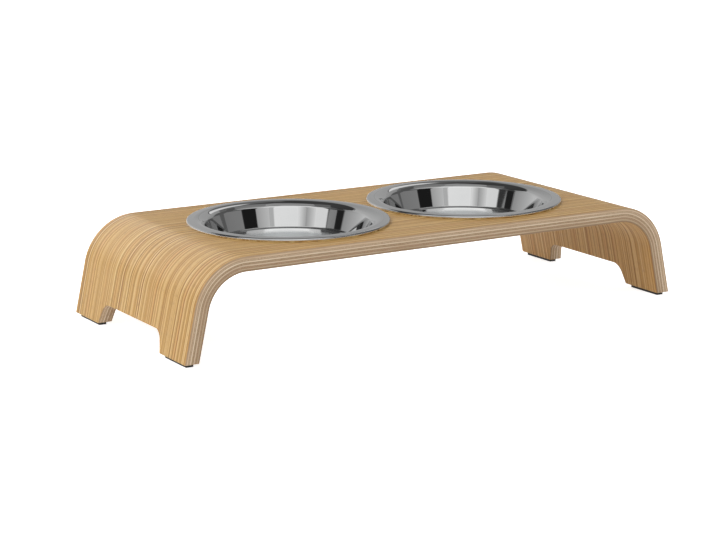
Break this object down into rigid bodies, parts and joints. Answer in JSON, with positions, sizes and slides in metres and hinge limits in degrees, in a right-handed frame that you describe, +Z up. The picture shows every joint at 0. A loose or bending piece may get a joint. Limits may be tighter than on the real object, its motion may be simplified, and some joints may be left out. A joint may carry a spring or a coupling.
{
  "type": "elevated cat feeder",
  "caption": "Low bench bent from oak veneers, with splayed legs on padded feet and two shallow round steel bowls that drop into holes in its top.",
  "frame": {"origin": "on the floor under the middle of the bench, the bottom centre of the bounding box", "axes": "+X along the bench to the right bowl, +Y to the back, +Z up"},
  "size_m": [0.4556, 0.193, 0.0825],
  "materials": {
    "oak_face": "clear satin lacquer on straight-grained oak veneer",
    "core_long_band": "sanded and sealed ply edge, long grain",
    "core_cross_band": "sanded and sealed ply edge, end grain",
    "bowl_steel": "pressed stainless steel, mirror-polished well and satin rim",
    "pad": "matt black"
  },
  "bodies": {
    "bench": {"outer_face_veneer": "oak_face", "core_veneer_1": "core_long_band", "core_veneer_2": "core_cross_band", "core_veneer_3": "core_long_band", "core_veneer_4": "core_cross_band", "core_veneer_5": "core_long_band", "core_veneer_6": "core_cross_band", "core_veneer_7": "core_long_band", "inner_face_veneer": "oak_face", "front_left_pad": "pad", "back_left_pad": "pad", "front_right_pad": "pad", "back_right_pad": "pad"},
    "left_bowl": {"left_bowl": "bowl_steel"},
    "right_bowl": {"right_bowl": "bowl_steel"}
  },
  "joints": [
    {"name": "left_bowl_lift", "type": "slide", "parent": "bench", "child": "left_bowl", "axis": [0, 0, 1], "range_m": [0, 0.06]},
    {"name": "right_bowl_lift", "type": "slide", "parent": "bench", "child": "right_bowl", "axis": [0, 0, 1], "range_m": [0, 0.06]}
  ]
}
